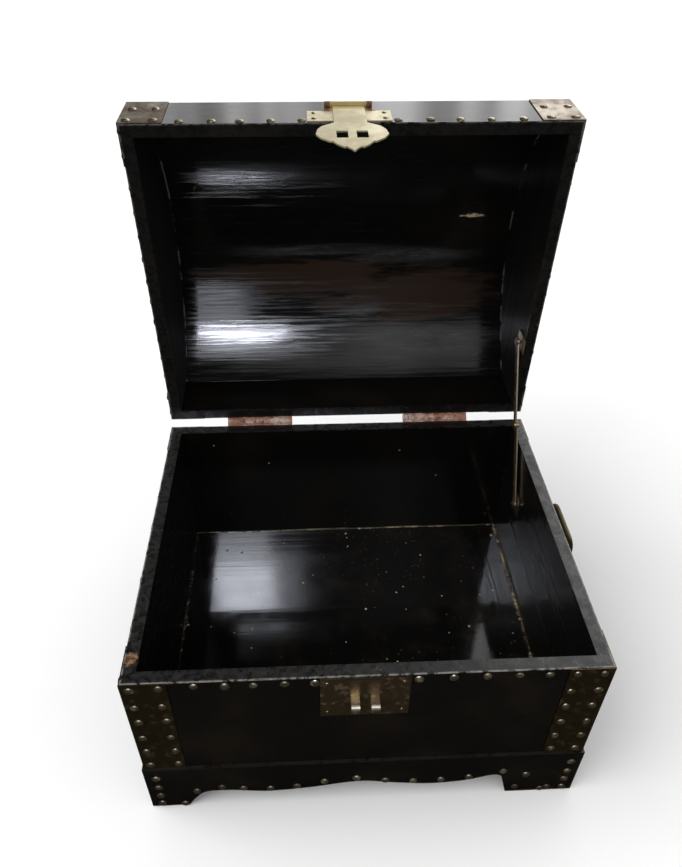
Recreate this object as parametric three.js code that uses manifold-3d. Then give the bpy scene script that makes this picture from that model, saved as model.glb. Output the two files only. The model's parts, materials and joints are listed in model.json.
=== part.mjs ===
// A dome-top lacquered chest on bracket feet, with brass corner plates, a swing hasp,
// a folding lid stay, side handles and a small wind-up music movement under its floor.
// Units are millimetres, +Z is up, +X is the chest's right and +Y its back.
// The lid stands open. Lid pieces are drawn closed, then the lid group turns about its hinge pin.
import * as THREE from "three";
import { mergeVertices } from "three/addons/utils/BufferGeometryUtils.js";
import Module from "manifold-3d";

const wasm = await Module();
wasm.setup();

// Driving dimensions.
const WIDTH = 350;
const DEPTH = 287;
const BOARD = 10;
const RIM_Z = 177;
const CARCASS_Z = 31;
const FLOOR_BOARD = 5;
const PLINTH_TOP = 61;
const PLINTH_OVERHANG = 2.5;
const PLINTH_LEDGE = 5;
const APRON_STEPS = 4;
const RIM_GAP = 1;
const LID_WALL = 47;
const DOME_RISE = 70;
const STAVE = 8;
const STAVE_COUNT = 8;
const LID_OPEN_ANGLE = THREE.MathUtils.degToRad(87);
const JOINT_GAP = 0.1;
const RUNNING_GAP = 0.3;

const HALF_W = WIDTH / 2;
const HALF_D = DEPTH / 2;
const INNER_X = HALF_W - BOARD;
const INNER_Y = HALF_D - BOARD;
const LID_RIM_Z = RIM_Z + RIM_GAP;
const LID_WALL_TOP = LID_RIM_Z + LID_WALL;
const DOME_R = (HALF_D ** 2 + DOME_RISE ** 2) / (2 * DOME_RISE);
const DOME_INNER_R = DOME_R - STAVE;
const DOME_CENTRE_Z = LID_WALL_TOP + DOME_RISE - DOME_R;

// Hinges.
const PIN_Y = HALF_D + 5.5;
const PIN_Z = RIM_Z + RIM_GAP / 2;
const HINGE_X = 88;
const HINGE_LENGTH = 64;
const HINGE_PIN_R = 1.5;
const KNUCKLE_R = 3.8;
const KNUCKLE_COUNT = 5;
const LEAF_THICK = 1.2;
const LEAF_REACH = 14.5;
const LEAF_LIFT = 0.15;

// Corner plates.
const PLATE_WIDTH = 32;
const PLATE_THICK = 0.8;

// Small allowances.
const OVERCUT = 1;
const MERGE = 0.1;
const MORTISE_PLAY = 0.2;
const PIN_PLAY = 0.15;
const BASE_PLATE_DROP = 0.4;
const LID_PLATE_DROP = 0.2;

// Hasp.
const HASP_X = -3;
const STAPLE_PLATE = { width: 65, low: 128.7, high: 174, thick: 1 };
const STAPLE_OFFSET = 7.25;
const STAPLE_Z = 147.5;
const STAPLE = { width: 6.2, height: 10.4, reach: 10, strap: 1.8 };
const SLOT = { width: 8.4, height: 13.4 };
const HASP_PLATE = { width: 64, height: 22.5, thick: 1 };
const FLAP_THICK = 1.2;
const FLAP_NECK = 24.5;
const HASP_PIVOT_RISE = 31;
const HASP_KNUCKLE_R = 2.6;
const HASP_EAR = 6.2;
const HASP_PIN_R = 1.1;
const HASP_BORE_HALF = 40;

// Lid stay.
const STAY_PIVOT_BASE = { y: 78, z: 122 };
const STAY_PIVOT_LID = { y: 63.5, z: 186 };
const STAY_LOWER_X = 161.6;
const STAY_UPPER_X = 160;
const STAY_THICK = 1.3;
const STAY_WIDTH = 7;
const STAY_EYE_R = 4.2;
const STAY_STUD_R = 1.7;
const STAY_BORE_R = 2;
const STAY_HEAD_R = 3.1;
const STAY_HEAD = 1;
const STAY_BRACKET = { thick: 1.1, halfWidth: 7, halfHeight: 11, weld: 0.5 };

// Handles. The right bail rests folded up, the left one hangs.
const HANDLE_Y = 3;
const HANDLE_Z = 149;
const HANDLE_REACH = 4.6;
const HANDLE_ROD_R = 2.5;
const HANDLE_EYE_R = 3.9;
const HANDLE_EYE = 4.6;
const HANDLE_PLATE = { halfLength: 37, low: 138, high: 160, thick: 1.2 };
const BAIL = { halfSpan: 30, halfWidth: 25, knee: 4, drop: 23, bend: 9 };
const BAIL_LIFT = { left: 0, right: Math.PI };

// Music movement.
const MOVE_Y = 20;
const BED = { left: -34, right: 39, half: 24, low: 29.2, high: 30.9 };
const BED_WELD = 0.5;
const BARREL = { x: -19, r: 12, low: 14, high: 27.5, bore: 2.3, flange: 1 };
const FLANGE = { low: 23.5, high: 26 };
const ARBOR_R = 2;
const KEY = { low: 3.5, high: 10.5, hub: 3.2, wing: 13, lobe: 3.4, web: 2.4, thick: 1.8 };
const CYLINDER = { left: -3, right: 21, y: -6, z: 20, r: 6.5, arbor: 1.2 };
const CYLINDER_WHEEL = { rise: 1.2, width: 1.4 };
const CYLINDER_AXLE_END = 3.5;
const POST = { gap: 1, thick: 2, half: 4, below: 3 };
const COMB = { teeth: 18, pitch: 1.1, slot: 0.3, tip: 1.2, root: 10, back: 16, thick: 1, taper: 0.15 };
const COMB_REST = { left: -2, right: 20 };
const FAN = { x: 31, y: -3, reach: 5.2, low: 14, high: 21, halfThick: 0.4 };
const FAN_SPINDLE = { r: 0.8, low: 12.7, gap: 0.3 };
const FAN_WORM = { r: 1.6, rise: 1, length: 5 };
const FAN_ARM = { back: 6, front: 8, half: 2, low: 11, high: 12.4, post: 2 };

// Materials.
const finish = (color, roughness, metalness) =>
  new THREE.MeshStandardMaterial({ color, roughness, metalness });
const lacquer = () => finish(0x0b0a0c, 0.2, 0);
const antiqueBrass = () => finish(0x5d4f38, 0.5, 0.9);
const paleBrass = () => finish(0xb3a57c, 0.4, 0.9);
const stapleBrass = () => finish(0xd8cdae, 0.3, 0.9);
const copper = () => finish(0x9a6a58, 0.4, 0.9);
const stayBrass = () => finish(0x8f7448, 0.35, 0.9);
const steel = () => finish(0x9a9da0, 0.3, 1);
const movementBrass = () => finish(0xc2a25a, 0.3, 1);

// Solids: join and cut.
function toSolid(geometry) {
  const bare = geometry.index ? geometry.toNonIndexed() : geometry.clone();
  bare.deleteAttribute("normal");
  bare.deleteAttribute("uv");
  const merged = mergeVertices(bare, 1e-4);
  const vertProperties = new Float32Array(merged.attributes.position.array);
  const triVerts = new Uint32Array(merged.index.array);
  return new wasm.Manifold(new wasm.Mesh({ numProp: 3, vertProperties, triVerts }));
}

function toGeometry(solid) {
  const mesh = solid.getMesh();
  const geometry = new THREE.BufferGeometry();
  const positions = new Float32Array(mesh.vertProperties);
  geometry.setAttribute("position", new THREE.BufferAttribute(positions, 3));
  geometry.setIndex(new THREE.BufferAttribute(new Uint32Array(mesh.triVerts), 1));
  return geometry;
}

function join(...geometries) {
  const solids = geometries.map(toSolid);
  return toGeometry(solids.reduce((whole, piece) => whole.add(piece)));
}

function cut(geometry, ...tools) {
  const solids = tools.map(toSolid);
  return toGeometry(solids.reduce((whole, tool) => whole.subtract(tool), toSolid(geometry)));
}

// Basic shapes.
function slab(x0, x1, y0, y1, z0, z1) {
  const box = new THREE.BoxGeometry(x1 - x0, y1 - y0, z1 - z0);
  return box.translate((x0 + x1) / 2, (y0 + y1) / 2, (z0 + z1) / 2);
}

function rodX(radius, x0, x1, y, z, sides = 20) {
  const rod = new THREE.CylinderGeometry(radius, radius, x1 - x0, sides);
  return rod.rotateZ(Math.PI / 2).translate((x0 + x1) / 2, y, z);
}

function rodY(radius, y0, y1, x, z, sides = 20) {
  const rod = new THREE.CylinderGeometry(radius, radius, y1 - y0, sides);
  return rod.translate(x, (y0 + y1) / 2, z);
}

function rodZ(radius, z0, z1, x, y, sides = 20) {
  const rod = new THREE.CylinderGeometry(radius, radius, z1 - z0, sides);
  return rod.rotateX(Math.PI / 2).translate(x, y, (z0 + z1) / 2);
}

// An outline in (y, z) becomes a solid from x0 to x1.
function extrudeAlongX(shape, x0, x1, curveSegments = 8) {
  const solid = new THREE.ExtrudeGeometry(shape, { depth: x1 - x0, bevelEnabled: false, curveSegments });
  return solid.rotateY(Math.PI / 2).rotateX(Math.PI / 2).translate(x0, 0, 0);
}

// An outline in (x, z) becomes a solid from y0 to y1.
function extrudeAlongY(shape, y0, y1, curveSegments = 8) {
  const solid = new THREE.ExtrudeGeometry(shape, { depth: y1 - y0, bevelEnabled: false, curveSegments });
  return solid.rotateX(Math.PI / 2).translate(0, y1, 0);
}

function outline(points) {
  return new THREE.Shape(points.map(([u, v]) => new THREE.Vector2(u, v)));
}

const chest = new THREE.Group();
const base = new THREE.Group();
const lidTurn = new THREE.Group();
const lid = new THREE.Group();
lidTurn.position.set(0, PIN_Y, PIN_Z);
lidTurn.rotation.x = -LID_OPEN_ANGLE;
lid.position.set(0, -PIN_Y, -PIN_Z);
lidTurn.add(lid);
chest.add(base, lidTurn);

function addPiece(parent, name, geometry, material) {
  const mesh = new THREE.Mesh(geometry, material);
  mesh.name = name;
  parent.add(mesh);
  return mesh;
}

// Shallow recesses in a rear board for the two hinge leaves.
function hingeMortises(z0, z1) {
  const reach = PIN_Y - LEAF_REACH - MORTISE_PLAY;
  const half = HINGE_LENGTH / 2 + MORTISE_PLAY;
  return [-HINGE_X, HINGE_X].map((x) => slab(x - half, x + half, reach, HALF_D + OVERCUT, z0, z1));
}

function buildCarcass() {
  const front = slab(-HALF_W, HALF_W, -HALF_D, -INNER_Y, CARCASS_Z, RIM_Z);
  const rear = slab(-HALF_W, HALF_W, INNER_Y, HALF_D, CARCASS_Z, RIM_Z);
  const leafUnder = PIN_Z - LEAF_LIFT - LEAF_THICK - MERGE;
  addPiece(base, "base_front_board", front, lacquer());
  addPiece(base, "base_rear_board", cut(rear, ...hingeMortises(leafUnder, RIM_Z + OVERCUT)), lacquer());
  const left = slab(-HALF_W, -INNER_X, -INNER_Y, INNER_Y, CARCASS_Z, RIM_Z);
  const right = slab(INNER_X, HALF_W, -INNER_Y, INNER_Y, CARCASS_Z, RIM_Z);
  addPiece(base, "base_left_board", left, lacquer());
  addPiece(base, "base_right_board", right, lacquer());
  const floor = slab(-INNER_X, INNER_X, -INNER_Y, INNER_Y, CARCASS_Z, CARCASS_Z + FLOOR_BOARD);
  addPiece(base, "floor_board", floor, lacquer());
}

// A plinth board's face: bracket feet at both ends and a hand-cut wavy apron between them.
function apronShape(left, right, apron) {
  const shape = new THREE.Shape();
  shape.moveTo(left, CARCASS_Z);
  shape.lineTo(left, 0);
  shape.lineTo(apron[0][0], 0);
  shape.splineThru(apron.slice(1).map(([u, v]) => new THREE.Vector2(u, v)));
  shape.lineTo(right, 0);
  shape.lineTo(right, CARCASS_Z);
  shape.closePath();
  return shape;
}

// The front apron isn't symmetric: its right foot is wider and ends in a sharp cusp.
const FRONT_APRON = [
  [-147, 0], [-140, 12], [-130, 22], [-108, 22.5], [-80, 18.5], [-45, 22], [-5, 29],
  [25, 24], [55, 20], [85, 23], [112, 29.5], [121, 0],
];

function mirroredApron(halfSpan, foot) {
  const inner = halfSpan - foot;
  const side = [[inner, 0], [inner - 7, 12], [inner - 17, 22], [inner - 34, 22.5], [inner * 0.5, 18.5]];
  const left = side.map(([u, v]) => [-u, v]);
  return [...left, [0, 29], ...side.reverse()];
}

function buildPlinth() {
  const outerX = HALF_W + PLINTH_OVERHANG;
  const outerY = HALF_D + PLINTH_OVERHANG;
  const ledgeX = INNER_X - PLINTH_LEDGE;
  const ledgeY = INNER_Y - PLINTH_LEDGE;
  const long = mirroredApron(outerX, 32);
  const front = extrudeAlongY(apronShape(-outerX, outerX, FRONT_APRON), -outerY, -ledgeY, APRON_STEPS);
  const rear = extrudeAlongY(apronShape(-outerX, outerX, long), ledgeY, outerY, APRON_STEPS);
  const frontLip = slab(-outerX, outerX, -outerY, -HALF_D, CARCASS_Z - 1, PLINTH_TOP);
  const rearLip = slab(-outerX, outerX, HALF_D, outerY, CARCASS_Z - 1, PLINTH_TOP);
  addPiece(base, "plinth_front", join(front, frontLip), lacquer());
  addPiece(base, "plinth_rear", join(rear, rearLip), lacquer());
  const short = mirroredApron(outerY, 32);
  for (const [name, side] of [["plinth_left", -1], ["plinth_right", 1]]) {
    const near = Math.min(side * ledgeX, side * outerX);
    const far = Math.max(side * ledgeX, side * outerX);
    const board = extrudeAlongX(apronShape(-ledgeY, ledgeY, short), near, far, APRON_STEPS);
    const lipNear = Math.min(side * HALF_W, side * outerX);
    const lipFar = Math.max(side * HALF_W, side * outerX);
    const lip = slab(lipNear, lipFar, -HALF_D, HALF_D, CARCASS_Z, PLINTH_TOP);
    const foot = slab(lipNear, lipFar, -ledgeY, ledgeY, CARCASS_Z - 1, CARCASS_Z + 1);
    addPiece(base, name, join(board, lip, foot), lacquer());
  }
}

// An angle plate folded round a vertical corner.
function cornerPlate(sideX, sideY, z0, z1) {
  const clear = PLATE_THICK + JOINT_GAP;
  const outer = [
    [HALF_W - PLATE_WIDTH, HALF_D + JOINT_GAP], [HALF_W + JOINT_GAP, HALF_D + JOINT_GAP],
    [HALF_W + JOINT_GAP, HALF_D - PLATE_WIDTH], [HALF_W + clear, HALF_D - PLATE_WIDTH],
    [HALF_W + clear, HALF_D + clear], [HALF_W - PLATE_WIDTH, HALF_D + clear],
  ];
  const shape = outline(outer.map(([x, y]) => [x * sideX, y * sideY]));
  return new THREE.ExtrudeGeometry(shape, { depth: z1 - z0, bevelEnabled: false }).translate(0, 0, z0);
}

function buildCornerPlates() {
  const corners = [["front_left", -1, -1], ["front_right", 1, -1], ["rear_left", -1, 1], ["rear_right", 1, 1]];
  for (const [where, sideX, sideY] of corners) {
    const low = cornerPlate(sideX, sideY, PLINTH_TOP + JOINT_GAP, RIM_Z - BASE_PLATE_DROP);
    addPiece(base, `base_corner_${where}`, low, antiqueBrass());
    const high = cornerPlate(sideX, sideY, LID_RIM_Z + BASE_PLATE_DROP, LID_WALL_TOP - LID_PLATE_DROP);
    addPiece(lid, `lid_corner_${where}`, high, paleBrass());
  }
}

// Lid walls: two long boards, and two end boards whose tops follow the dome's inside.
function buildLidWalls() {
  const front = slab(-HALF_W, HALF_W, -HALF_D, -INNER_Y, LID_RIM_Z, LID_WALL_TOP);
  const rear = slab(-HALF_W, HALF_W, INNER_Y, HALF_D, LID_RIM_Z, LID_WALL_TOP);
  const leafOver = PIN_Z + LEAF_LIFT + LEAF_THICK + MERGE;
  addPiece(lid, "lid_front_board", front, lacquer());
  addPiece(lid, "lid_rear_board", cut(rear, ...hingeMortises(LID_RIM_Z - OVERCUT, leafOver)), lacquer());
  const radius = DOME_INNER_R - JOINT_GAP;
  const halfSpan = INNER_Y - JOINT_GAP;
  const springing = Math.acos(halfSpan / radius);
  const shape = new THREE.Shape();
  shape.moveTo(-halfSpan, LID_RIM_Z);
  shape.lineTo(halfSpan, LID_RIM_Z);
  shape.absarc(0, DOME_CENTRE_Z, radius, springing, Math.PI - springing, false);
  shape.closePath();
  addPiece(lid, "lid_left_end", extrudeAlongX(shape, -HALF_W, -INNER_X, 16), lacquer());
  addPiece(lid, "lid_right_end", extrudeAlongX(shape, INNER_X, HALF_W, 16), lacquer());
}

// The dome's staves. The outermost two are cut level, to stand on the long walls.
function buildDome() {
  const wallTop = LID_WALL_TOP + JOINT_GAP - DOME_CENTRE_Z;
  const outerEnd = Math.acos(wallTop / DOME_R);
  const innerEnd = Math.acos(wallTop / DOME_INNER_R);
  for (let i = 0; i < STAVE_COUNT; i += 1) {
    const share = (k) => 2 * (k / STAVE_COUNT) - 1;
    const trimStart = i === 0 ? 0 : JOINT_GAP / 2 / DOME_R;
    const trimEnd = i === STAVE_COUNT - 1 ? 0 : JOINT_GAP / 2 / DOME_R;
    const outer0 = share(i) * outerEnd + trimStart;
    const outer1 = share(i + 1) * outerEnd - trimEnd;
    const inner0 = i === 0 ? -innerEnd : outer0;
    const inner1 = i === STAVE_COUNT - 1 ? innerEnd : outer1;
    const shape = new THREE.Shape();
    const up = Math.PI / 2;
    shape.absarc(0, DOME_CENTRE_Z, DOME_R, up - outer0, up - outer1, true);
    shape.absarc(0, DOME_CENTRE_Z, DOME_INNER_R, up - inner1, up - inner0, false);
    shape.closePath();
    addPiece(lid, `lid_stave_${i + 1}`, extrudeAlongX(shape, -HALF_W, HALF_W, 4), lacquer());
  }
}

// A butt hinge: two leaves with alternating knuckles on one pin.
function hingeLeaf(x, side) {
  const isBase = side < 0;
  const near = PIN_Z + side * LEAF_LIFT;
  const far = PIN_Z + side * (LEAF_LIFT + LEAF_THICK);
  const low = Math.min(near, far);
  const high = Math.max(near, far);
  const start = x - HINGE_LENGTH / 2;
  const step = HINGE_LENGTH / KNUCKLE_COUNT;
  const leafEnd = PIN_Y - KNUCKLE_R - RUNNING_GAP;
  const solids = [slab(start, start + HINGE_LENGTH, PIN_Y - LEAF_REACH, leafEnd, low, high)];
  for (let i = 0; i < KNUCKLE_COUNT; i += 1) {
    const own = (i % 2 === 0) === isBase;
    if (own) {
      const x0 = start + i * step + (i === 0 ? 0 : RUNNING_GAP / 2);
      const x1 = start + (i + 1) * step - (i === KNUCKLE_COUNT - 1 ? 0 : RUNNING_GAP / 2);
      solids.push(slab(x0, x1, leafEnd - 1, PIN_Y, low, high));
      solids.push(rodX(KNUCKLE_R, x0, x1, PIN_Y, PIN_Z));
    }
  }
  const bore = rodX(HINGE_PIN_R + PIN_PLAY, start - OVERCUT, start + HINGE_LENGTH + OVERCUT, PIN_Y, PIN_Z);
  return cut(join(...solids), bore);
}

function buildHinges() {
  for (const [where, x] of [["left", -HINGE_X], ["right", HINGE_X]]) {
    addPiece(base, `hinge_${where}_base_leaf`, hingeLeaf(x, -1), copper());
    addPiece(lid, `hinge_${where}_lid_leaf`, hingeLeaf(x, 1), copper());
    const half = HINGE_LENGTH / 2;
    const pin = rodX(HINGE_PIN_R, x - half, x + half, PIN_Y, PIN_Z);
    addPiece(base, `hinge_${where}_pin`, pin, copper());
  }
}

// The base half of the hasp: a plate and two strap staples.
function stapleLoop(x) {
  const { width, height, reach, strap } = STAPLE;
  const face = -HALF_D - STAPLE_PLATE.thick;
  const half = height / 2;
  const shape = new THREE.Shape();
  shape.moveTo(face, STAPLE_Z - half);
  shape.lineTo(face, STAPLE_Z + half);
  shape.lineTo(face - reach + half, STAPLE_Z + half);
  shape.absarc(face - reach + half, STAPLE_Z, half, Math.PI / 2, (3 * Math.PI) / 2, false);
  shape.closePath();
  const loop = extrudeAlongX(shape, x - width / 2, x + width / 2, 8);
  const hole = new THREE.Shape();
  hole.moveTo(face + 1, STAPLE_Z - half + strap);
  hole.lineTo(face + 1, STAPLE_Z + half - strap);
  hole.lineTo(face - reach + half, STAPLE_Z + half - strap);
  hole.absarc(face - reach + half, STAPLE_Z, half - strap, Math.PI / 2, (3 * Math.PI) / 2, false);
  hole.closePath();
  return cut(loop, extrudeAlongX(hole, x - width, x + width, 8));
}

function buildStaples() {
  const { width, low, high, thick } = STAPLE_PLATE;
  const plate = slab(HASP_X - width / 2, HASP_X + width / 2, -HALF_D - thick, -HALF_D, low, high);
  addPiece(base, "hasp_staple_plate", plate, antiqueBrass());
  addPiece(base, "hasp_staple_left", stapleLoop(HASP_X - STAPLE_OFFSET), stapleBrass());
  addPiece(base, "hasp_staple_right", stapleLoop(HASP_X + STAPLE_OFFSET), stapleBrass());
}

// Half of the flap's edge, from the neck to the tip: distance from its middle, distance past the rim.
const FLAP_EDGE = [
  [12.25, 7], [16, 10], [21.5, 14], [25, 21], [26.2, 30], [23, 37], [16, 44], [14.6, 43.2],
  [11, 49.5], [6.5, 54.2], [5.2, 53], [2.4, 56.6], [0, 61.3],
];

function flapShape() {
  const neck = FLAP_NECK / 2;
  const top = HASP_PIVOT_RISE - HASP_KNUCKLE_R - RUNNING_GAP;
  const right = FLAP_EDGE.map(([u, past]) => [HASP_X + u, LID_RIM_Z - past]);
  const left = FLAP_EDGE.slice(0, -1).reverse().map(([u, past]) => [HASP_X - u, LID_RIM_Z - past]);
  const ends = LID_RIM_Z + top;
  return outline([[HASP_X + neck, ends], ...right, ...left, [HASP_X - neck, ends]]);
}

function buildHasp() {
  const { width, height, thick } = HASP_PLATE;
  const face = -HALF_D - JOINT_GAP;
  const pivotY = face - thick - RUNNING_GAP - FLAP_THICK - MERGE;
  const pivotZ = LID_RIM_Z + HASP_PIVOT_RISE;
  const neck = FLAP_NECK / 2;
  const pin = rodX(HASP_PIN_R, HASP_X - neck - HASP_EAR, HASP_X + neck + HASP_EAR, pivotY, pivotZ);
  const bore = rodX(HASP_PIN_R + PIN_PLAY, HASP_X - HASP_BORE_HALF, HASP_X + HASP_BORE_HALF, pivotY, pivotZ);
  const plateSolids = [slab(HASP_X - width / 2, HASP_X + width / 2, face - thick, face,
    LID_RIM_Z + 1, LID_RIM_Z + height)];
  for (const side of [-1, 1]) {
    const inner = HASP_X + side * (neck + RUNNING_GAP);
    const outer = HASP_X + side * (neck + HASP_EAR);
    const x0 = Math.min(inner, outer);
    const x1 = Math.max(inner, outer);
    plateSolids.push(slab(x0, x1, face - thick, face, LID_RIM_Z + height - 1, pivotZ));
    plateSolids.push(rodX(HASP_KNUCKLE_R, x0, x1, pivotY, pivotZ));
  }
  addPiece(lid, "hasp_lid_plate", cut(join(...plateSolids), bore), paleBrass());
  addPiece(lid, "hasp_pin", pin, paleBrass());

  const flapBack = face - thick - RUNNING_GAP;
  const flapFront = flapBack - FLAP_THICK;
  const sheet = extrudeAlongY(flapShape(), flapFront, flapBack);
  const knuckle = rodX(HASP_KNUCKLE_R, HASP_X - neck, HASP_X + neck, pivotY, pivotZ);
  const tongue = slab(HASP_X - neck, HASP_X + neck, flapFront, flapBack, pivotZ - HASP_KNUCKLE_R - 1, pivotZ);
  const slots = [-1, 1].map((side) => {
    const x = HASP_X + side * STAPLE_OFFSET;
    return slab(x - SLOT.width / 2, x + SLOT.width / 2, flapFront - 1, flapBack + 1,
      STAPLE_Z - SLOT.height / 2, STAPLE_Z + SLOT.height / 2);
  });
  addPiece(lid, "hasp_flap", cut(join(sheet, knuckle, tongue), bore, ...slots), paleBrass());
}

// Turns a (y, z) point of the closed lid to where it stands when the lid is open.
function openPoint({ y, z }) {
  const turned = new THREE.Vector2(y - PIN_Y, z - PIN_Z).rotateAround(new THREE.Vector2(), -LID_OPEN_ANGLE);
  return { y: turned.x + PIN_Y, z: turned.y + PIN_Z };
}

// A stay link lies along +Y from its own pivot. Its far eye carries half of the rivet.
function stayLink(length, x, headSide) {
  const strip = slab(x, x + STAY_THICK, 0, length, -STAY_WIDTH / 2, STAY_WIDTH / 2);
  const eye = rodX(STAY_EYE_R, x, x + STAY_THICK, 0, 0);
  const farEye = rodX(STAY_EYE_R, x, x + STAY_THICK, length, 0);
  const x0 = headSide > 0 ? x + STAY_THICK - MERGE : x - STAY_HEAD;
  const head = rodX(STAY_HEAD_R, x0, x0 + STAY_HEAD + MERGE, length, 0);
  return cut(join(strip, eye, farEye, head), rodX(STAY_BORE_R, x - OVERCUT, x + STAY_THICK + OVERCUT, 0, 0));
}

function stayBracket(pivot, linkX) {
  const head = linkX - RUNNING_GAP;
  const { thick, halfWidth, halfHeight, weld } = STAY_BRACKET;
  const plate = slab(INNER_X - thick, INNER_X - JOINT_GAP, pivot.y - halfWidth, pivot.y + halfWidth,
    pivot.z - halfHeight, pivot.z + halfHeight);
  const stud = rodX(STAY_STUD_R, head - weld, INNER_X - weld, pivot.y, pivot.z);
  const cap = rodX(STAY_HEAD_R, head - STAY_HEAD, head, pivot.y, pivot.z);
  return join(plate, stud, cap);
}

function buildStay() {
  const top = openPoint(STAY_PIVOT_LID);
  const bottom = STAY_PIVOT_BASE;
  const angle = Math.atan2(top.z - bottom.z, top.y - bottom.y);
  const length = Math.hypot(top.y - bottom.y, top.z - bottom.z) / 2;
  addPiece(base, "stay_base_bracket", stayBracket(bottom, STAY_LOWER_X), stayBrass());
  addPiece(lid, "stay_lid_bracket", stayBracket(STAY_PIVOT_LID, STAY_UPPER_X), stayBrass());
  const lower = addPiece(base, "stay_lower_link", stayLink(length, STAY_LOWER_X, 1), stayBrass());
  lower.position.set(0, bottom.y, bottom.z);
  lower.rotation.x = angle;
  const upper = addPiece(base, "stay_upper_link", stayLink(length, STAY_UPPER_X, -1), stayBrass());
  upper.position.set(0, top.y, top.z);
  upper.rotation.x = angle + Math.PI;
}

// A drop handle's bail, from one eye down, across and up to the other eye.
function bailPath() {
  const { halfSpan, halfWidth, knee, drop, bend } = BAIL;
  const at = (y, z) => new THREE.Vector3(0, y, z);
  const path = new THREE.CurvePath();
  const half = [
    [at(-halfSpan - HANDLE_EYE, 0), at(-halfWidth - knee, 0)],
    [at(-halfWidth - knee, 0), at(-halfWidth, 0), at(-halfWidth, -knee)],
    [at(-halfWidth, -knee), at(-halfWidth, bend - drop)],
    [at(-halfWidth, bend - drop), at(-halfWidth, -drop), at(bend - halfWidth, -drop)],
  ];
  const mirror = (points) => points.map(({ y, z }) => at(-y, z)).reverse();
  const toes = [half[3][2], mirror(half[3])[0]];
  for (const points of [...half, toes, ...half.map(mirror).reverse()]) {
    const Curve = points.length === 2 ? THREE.LineCurve3 : THREE.QuadraticBezierCurve3;
    path.add(new Curve(...points));
  }
  return path;
}

// The plate with its two eyes, on the left (side -1) or the right (side 1).
function handlePlate(side) {
  const { halfLength, low, high, thick } = HANDLE_PLATE;
  const face = side * (HALF_W + JOINT_GAP);
  const back = side * (HALF_W + JOINT_GAP + thick);
  const pivotX = side * (HALF_W + HANDLE_REACH);
  const solids = [slab(Math.min(face, back), Math.max(face, back),
    HANDLE_Y - halfLength, HANDLE_Y + halfLength, low, high)];
  const bores = [];
  for (const end of [-1, 1]) {
    const y0 = HANDLE_Y + end * BAIL.halfSpan - HANDLE_EYE / 2;
    const y1 = y0 + HANDLE_EYE;
    solids.push(rodY(HANDLE_EYE_R, y0, y1, pivotX, HANDLE_Z));
    solids.push(slab(Math.min(face, pivotX), Math.max(face, pivotX), y0, y1,
      HANDLE_Z - HANDLE_EYE_R, HANDLE_Z + HANDLE_EYE_R));
    bores.push(rodY(HANDLE_ROD_R + RUNNING_GAP, y0 - 1, y1 + 1, pivotX, HANDLE_Z, 16));
  }
  return cut(join(...solids), ...bores);
}

function buildHandles() {
  for (const [where, side] of [["left", -1], ["right", 1]]) {
    addPiece(base, `handle_${where}_plate`, handlePlate(side), antiqueBrass());
    const ring = new THREE.Shape().absarc(0, 0, HANDLE_ROD_R, 0, 2 * Math.PI, false);
    const bail = new THREE.ExtrudeGeometry(ring, {
      steps: 48, curveSegments: 5, bevelEnabled: false, extrudePath: bailPath(),
    });
    const mesh = addPiece(base, `handle_${where}_bail`, bail, antiqueBrass());
    mesh.position.set(side * (HALF_W + HANDLE_REACH), HANDLE_Y, HANDLE_Z);
    mesh.rotation.y = -side * BAIL_LIFT[where];
  }
}

// The music movement hangs under the floor: bedplate, spring barrel, pinned cylinder, comb and governor.
function buildBedplate() {
  const { left, right, half, low, high } = BED;
  const plate = slab(left, right, MOVE_Y - half, MOVE_Y + half, low, high);
  const top = low + BED_WELD;
  const y = MOVE_Y + CYLINDER.y;
  const post = (x) => slab(x, x + POST.thick, y - POST.half, y + POST.half, CYLINDER.z - POST.below, top);
  const posts = [post(CYLINDER.left - POST.gap - POST.thick), post(CYLINDER.right + POST.gap)];
  const combRest = slab(COMB_REST.left, COMB_REST.right, MOVE_Y + COMB.root, MOVE_Y + COMB.back,
    CYLINDER.z + COMB.thick / 2, top);
  const fanY = MOVE_Y + FAN.y;
  const armEnd = FAN.x + FAN_ARM.front;
  const arm = (x0, z1) => slab(x0, armEnd, fanY - FAN_ARM.half, fanY + FAN_ARM.half, FAN_ARM.low, z1);
  const frame = join(arm(FAN.x - FAN_ARM.back, FAN_ARM.high), arm(armEnd - FAN_ARM.post, top));
  const bore = rodX(CYLINDER.arbor + RUNNING_GAP, BED.left, BED.right, y, CYLINDER.z, 16);
  return cut(join(plate, ...posts, combRest, frame), bore);
}

function springBarrel() {
  const { x, r, low, high, bore, flange } = BARREL;
  const drum = rodZ(r, low, high, x, MOVE_Y, 40);
  const rim = rodZ(r + flange, FLANGE.low, FLANGE.high, x, MOVE_Y, 40);
  return cut(join(drum, rim), rodZ(bore, low - OVERCUT, high + OVERCUT, x, MOVE_Y, 24));
}

function windingKey() {
  const { low, high, hub, wing, lobe, web, thick } = KEY;
  const x = BARREL.x;
  const y0 = MOVE_Y - thick / 2;
  const y1 = MOVE_Y + thick / 2;
  const middle = (low + high) / 2;
  const lobeX = wing - lobe;
  const lobes = [-1, 1].map((side) => rodY(lobe, y0, y1, x + side * lobeX, middle, 20));
  const bridge = slab(x - lobeX, x + lobeX, y0, y1, middle - web, middle + web);
  return join(rodZ(hub, low, high, x, MOVE_Y, 20), bridge, ...lobes);
}

function combPlate() {
  const { teeth, pitch, slot, tip, root, back, thick, taper } = COMB;
  const top = CYLINDER.z + thick / 2;
  const length = teeth * pitch;
  const plate = slab(0, length, MOVE_Y + tip, MOVE_Y + back, top - thick, top);
  const slots = [];
  for (let i = 1; i < teeth; i += 1) {
    const x = i * pitch;
    const end = MOVE_Y + root - i * taper;
    slots.push(slab(x - slot / 2, x + slot / 2, MOVE_Y, end, top - thick - 1, top + 1));
  }
  return cut(plate, ...slots);
}

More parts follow.
